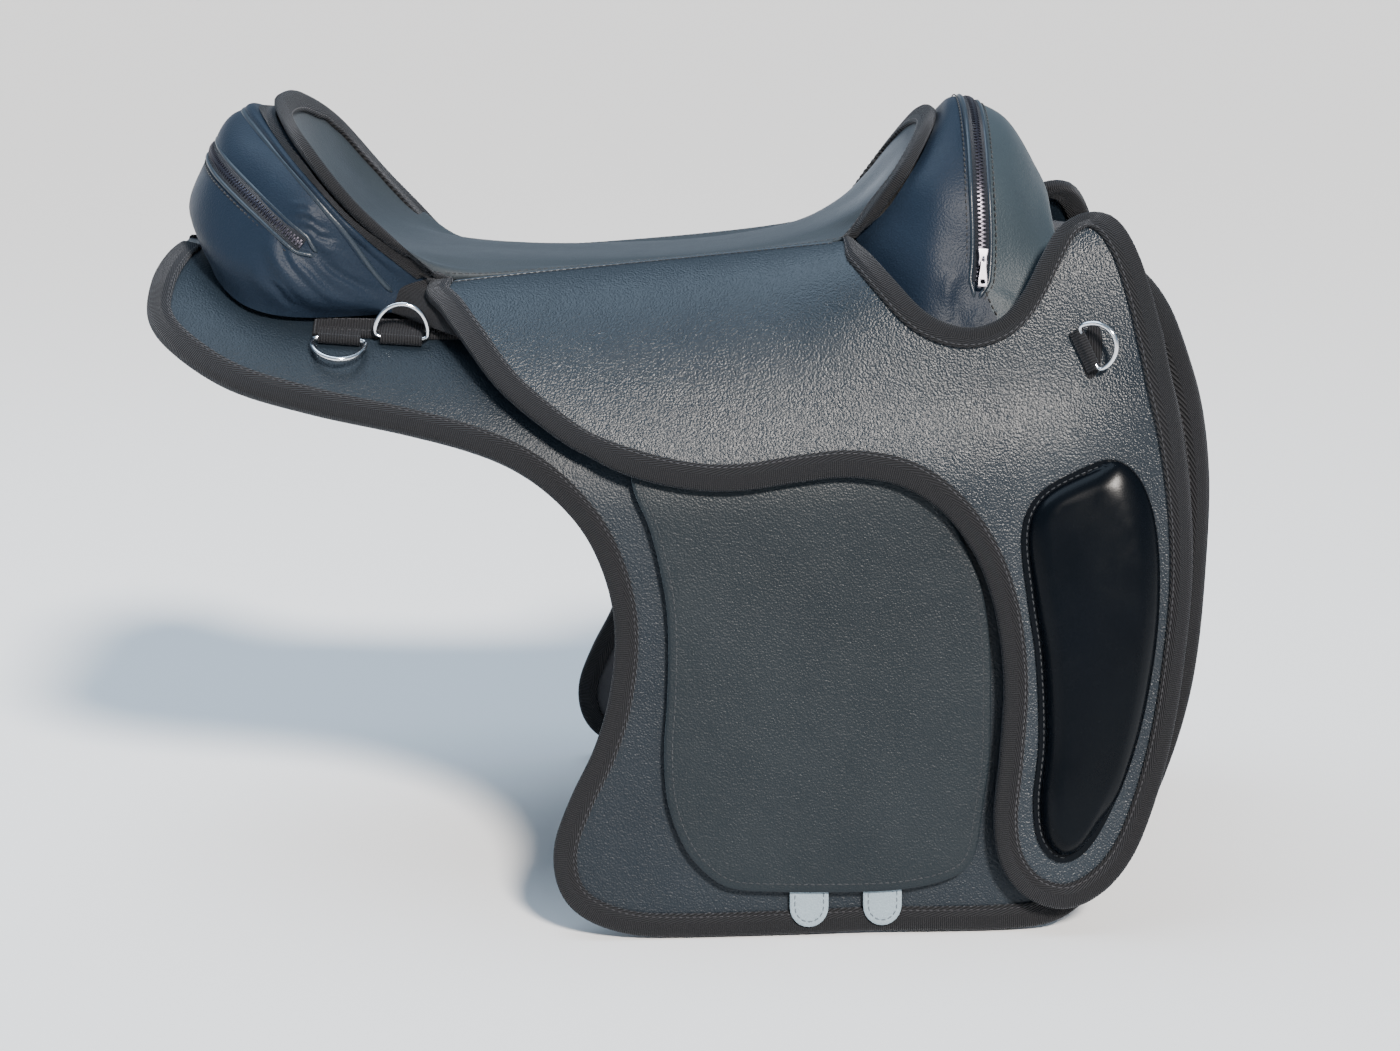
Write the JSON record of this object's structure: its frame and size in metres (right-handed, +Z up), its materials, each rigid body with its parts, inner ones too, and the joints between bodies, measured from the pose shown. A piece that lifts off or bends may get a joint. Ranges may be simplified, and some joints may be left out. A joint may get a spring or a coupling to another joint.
{
  "type": "treeless saddle",
  "caption": "Treeless riding saddle: soft leather seat, raised pommel and cantle pouches with zips, lifting side flaps with knee blocks, fenders, girth billets and D rings.",
  "frame": {"origin": "middle of the saddle's footprint, on the surface that it stands on", "axes": "+X forward to the pommel, +Y to the near (left) side, +Z up"},
  "size_m": [0.6916, 0.4428, 0.5298],
  "materials": {
    "leather": "black leather with a blue cast, fine grain, satin",
    "pale_leather": "pale grey-blue strap leather, matt",
    "webbing": "black ribbed webbing, matt",
    "felt": "dark grey felt, matt",
    "foam": "closed-cell foam, matt",
    "plastic": "stiff black plastic, matt",
    "steel": "polished chrome plate"
  },
  "bodies": {
    "saddle": {"base_binding_near": "webbing", "base_binding_off": "webbing", "base_near": "leather", "base_off": "leather", "cantle_binding": "webbing", "cantle_foam": "foam", "cantle_pouch": "leather", "cantle_zip": "webbing", "flap_root_near": "leather", "flap_root_off": "leather", "girth_webbing_front": "webbing", "girth_webbing_rear": "webbing", "gullet_strip": "leather", "lining_near": "felt", "lining_off": "felt", "pommel_arch": "plastic", "pommel_binding": "webbing", "pommel_foam": "foam", "pommel_pouch": "leather", "pommel_zip": "webbing", "rear_ring_inner_near_tab": "webbing", "rear_ring_inner_off_tab": "webbing", "rear_ring_outer_near_tab": "webbing", "rear_ring_outer_off_tab": "webbing", "seat_cover": "leather", "seat_foam": "foam", "stirrup_ring_near_tab": "webbing", "stirrup_ring_off_tab": "webbing", "stirrup_webbing": "webbing"},
    "billet_front_off_body": {"billet_front_off": "pale_leather"},
    "billet_rear_off_body": {"billet_rear_off": "pale_leather"},
    "billet_front_near_body": {"billet_front_near": "pale_leather"},
    "billet_rear_near_body": {"billet_rear_near": "pale_leather"},
    "fender_off_body": {"fender_off": "leather"},
    "fender_near_body": {"fender_near": "leather"},
    "front_ring_off_body": {"front_ring_off": "steel"},
    "flap_off_body": {"flap_binding_off": "webbing", "flap_off": "leather", "front_ring_off_tab": "webbing", "knee_block_off": "leather", "knee_foam_off": "foam"},
    "front_ring_near_body": {"front_ring_near": "steel"},
    "flap_near_body": {"flap_binding_near": "webbing", "flap_near": "leather", "front_ring_near_tab": "webbing", "knee_block_near": "leather", "knee_foam_near": "foam"},
    "pommel_zip_body": {"pommel_zip_slider": "steel"},
    "pommel_zip_pull_body": {"pommel_zip_pull": "steel"},
    "cantle_zip_body": {"cantle_zip_slider": "steel"},
    "cantle_zip_pull_body": {"cantle_zip_pull": "steel"},
    "rear_ring_outer_off_body": {"rear_ring_outer_off": "steel"},
    "rear_ring_inner_off_body": {"rear_ring_inner_off": "steel"},
    "rear_ring_outer_near_body": {"rear_ring_outer_near": "steel"},
    "rear_ring_inner_near_body": {"rear_ring_inner_near": "steel"},
    "stirrup_ring_off_body": {"stirrup_ring_off": "steel"},
    "stirrup_ring_near_body": {"stirrup_ring_near": "steel"}
  },
  "joints": [
    {"name": "swing_billet_front_off", "type": "hinge", "parent": "saddle", "child": "billet_front_off_body", "pos_m": [0.1348, -0.15665, 0.27315], "axis": [0.0511, -0.9851, 0.1644], "range_deg": [-3, 3]},
    {"name": "swing_billet_rear_off", "type": "hinge", "parent": "saddle", "child": "billet_rear_off_body", "pos_m": [0.08719, -0.15989, 0.26907], "axis": [0.0548, -0.9845, 0.1667], "range_deg": [-3, 3]},
    {"name": "swing_billet_front_near", "type": "hinge", "parent": "saddle", "child": "billet_front_near_body", "pos_m": [0.1348, 0.15665, 0.27315], "axis": [0.0511, 0.9851, 0.1644], "range_deg": [-3, 3]},
    {"name": "swing_billet_rear_near", "type": "hinge", "parent": "saddle", "child": "billet_rear_near_body", "pos_m": [0.08719, 0.15989, 0.26907], "axis": [0.0548, 0.9845, 0.1667], "range_deg": [-3, 3]},
    {"name": "lift_fender_off", "type": "hinge", "parent": "saddle", "child": "fender_off_body", "pos_m": [-0.02703, -0.15081, 0.32924], "axis": [-0.9952, -0.0607, -0.0773], "range_deg": [0, 12.5]},
    {"name": "lift_fender_near", "type": "hinge", "parent": "saddle", "child": "fender_near_body", "pos_m": [-0.02703, 0.15081, 0.32924], "axis": [0.9952, -0.0607, 0.0773], "range_deg": [0, 12.5]},
    {"name": "swing_front_ring_off", "type": "hinge", "parent": "flap_off_body", "child": "front_ring_off_body", "pos_m": [0.26588, -0.14423, 0.37477], "axis": [0.4244, -0.2156, -0.8794], "range_deg": [-22, 120]},
    {"name": "lift_flap_off", "type": "hinge", "parent": "saddle", "child": "flap_off_body", "pos_m": [-0.16039, -0.10238, 0.40657], "axis": [-0.9941, -0.0385, -0.101], "range_deg": [0, 25]},
    {"name": "swing_front_ring_near", "type": "hinge", "parent": "flap_near_body", "child": "front_ring_near_body", "pos_m": [0.26588, 0.14423, 0.37477], "axis": [-0.4244, -0.2156, 0.8794], "range_deg": [-22, 120]},
    {"name": "lift_flap_near", "type": "hinge", "parent": "saddle", "child": "flap_near_body", "pos_m": [-0.16039, 0.10238, 0.40657], "axis": [0.9941, -0.0385, 0.101], "range_deg": [0, 25]},
    {"name": "slide_pommel_zip", "type": "hinge", "parent": "saddle", "child": "pommel_zip_body", "pos_m": [0.19932, 0, 0.41253], "axis": [-1, 0, 0], "range_deg": [0, 150]},
    {"name": "swing_pommel_zip_pull", "type": "hinge", "parent": "pommel_zip_body", "child": "pommel_zip_pull_body", "pos_m": [0.20084, -0.11781, 0.4288], "axis": [-0.9841, -0.1437, 0.1046], "range_deg": [0, 120]},
    {"name": "slide_cantle_zip", "type": "hinge", "parent": "saddle", "child": "cantle_zip_body", "pos_m": [-0.22168, 0, 0.42603], "axis": [0.592, 0, 0.8059], "range_deg": [0, 120]},
    {"name": "swing_cantle_zip_pull", "type": "hinge", "parent": "cantle_zip_body", "child": "cantle_zip_pull_body", "pos_m": [-0.25801, 0.11455, 0.45275], "axis": [0.6589, -0.0668, 0.7493], "range_deg": [0, 120]},
    {"name": "swing_rear_ring_outer_off", "type": "hinge", "parent": "saddle", "child": "rear_ring_outer_off_body", "pos_m": [-0.21838, -0.11635, 0.37786], "axis": [-0.9943, -0.0626, 0.0861], "range_deg": [-5, 80]},
    {"name": "swing_rear_ring_inner_off", "type": "hinge", "parent": "saddle", "child": "rear_ring_inner_off_body", "pos_m": [-0.17844, -0.1112, 0.37678], "axis": [-0.9963, -0.0499, 0.0706], "range_deg": [-112, 3]},
    {"name": "swing_rear_ring_outer_near", "type": "hinge", "parent": "saddle", "child": "rear_ring_outer_near_body", "pos_m": [-0.21838, 0.11635, 0.37786], "axis": [0.9943, -0.0626, -0.0861], "range_deg": [-5, 80]},
    {"name": "swing_rear_ring_inner_near", "type": "hinge", "parent": "saddle", "child": "rear_ring_inner_near_body", "pos_m": [-0.17844, 0.1112, 0.37678], "axis": [0.9963, -0.0499, -0.0706], "range_deg": [-112, 3]},
    {"name": "swing_stirrup_ring_off", "type": "hinge", "parent": "saddle", "child": "stirrup_ring_off_body", "pos_m": [0.07675, -0.12286, 0.35802], "axis": [-0.9998, 0.0119, -0.0165], "range_deg": [-2, 6]},
    {"name": "swing_stirrup_ring_near", "type": "hinge", "parent": "saddle", "child": "stirrup_ring_near_body", "pos_m": [0.07675, 0.12286, 0.35802], "axis": [0.9998, 0.0119, 0.0165], "range_deg": [-2, 6]}
  ],
  "couplings": [
    {"joint": "lift_fender_off", "follows": "lift_flap_off", "ratio": 0.5},
    {"joint": "lift_fender_near", "follows": "lift_flap_near", "ratio": 0.5}
  ]
}
